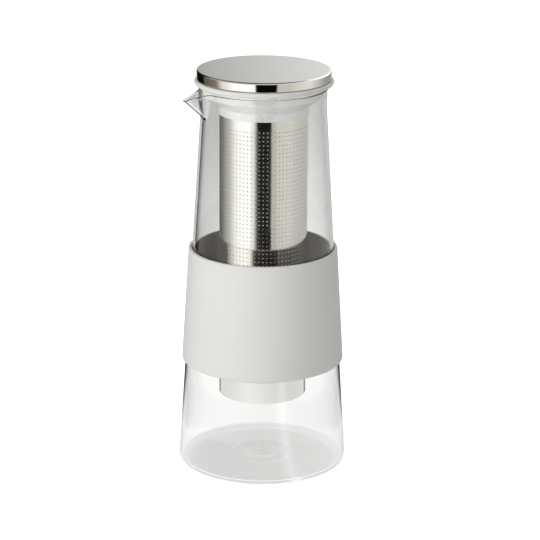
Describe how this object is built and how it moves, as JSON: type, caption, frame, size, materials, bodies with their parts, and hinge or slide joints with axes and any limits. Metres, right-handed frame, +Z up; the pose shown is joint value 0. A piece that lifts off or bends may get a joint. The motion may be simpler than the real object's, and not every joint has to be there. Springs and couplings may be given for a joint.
{
  "type": "iced tea carafe",
  "caption": "Glass iced tea carafe with a pouring lip, silicone grip sleeve, perforated steel infuser in a silicone collar, and a lift-off steel plug lid.",
  "frame": {"origin": "on the table, at the centre of the base", "axes": "+Z up along the carafe's axis, -X towards the pouring lip; the picture's camera stands on the -Y side, turned 20 degrees towards the lip"},
  "size_m": [0.105, 0.105, 0.25],
  "materials": {
    "glass": "clear borosilicate, fire-polished rim",
    "sleeve_silicone": "matt warm light grey silicone",
    "clear_silicone": "milky translucent silicone",
    "polished_steel": "mirror-polished stainless steel sheet",
    "satin_steel": "satin top and polished edge, stainless steel",
    "core_plastic": "moulded polypropylene"
  },
  "bodies": {
    "carafe": {"glass_carafe": "glass"},
    "sleeve": {"grip_sleeve": "sleeve_silicone"},
    "infuser": {"filter_collar": "clear_silicone", "filter_hoop": "polished_steel", "filter_tube": "polished_steel", "filter_bottom": "polished_steel"},
    "lid": {"lid_seal": "clear_silicone", "lid_core": "core_plastic", "lid_cap": "satin_steel"}
  },
  "joints": [
    {"name": "sleeve_slide", "type": "slide", "parent": "carafe", "child": "sleeve", "axis": [0, 0, 1], "range_m": [0, 0.08]},
    {"name": "infuser_lift", "type": "slide", "parent": "carafe", "child": "infuser", "axis": [0, 0, 1], "range_m": [0, 0.205]},
    {"name": "lid_lift", "type": "slide", "parent": "infuser", "child": "lid", "axis": [0, 0, 1], "range_m": [0, 0.03]}
  ]
}
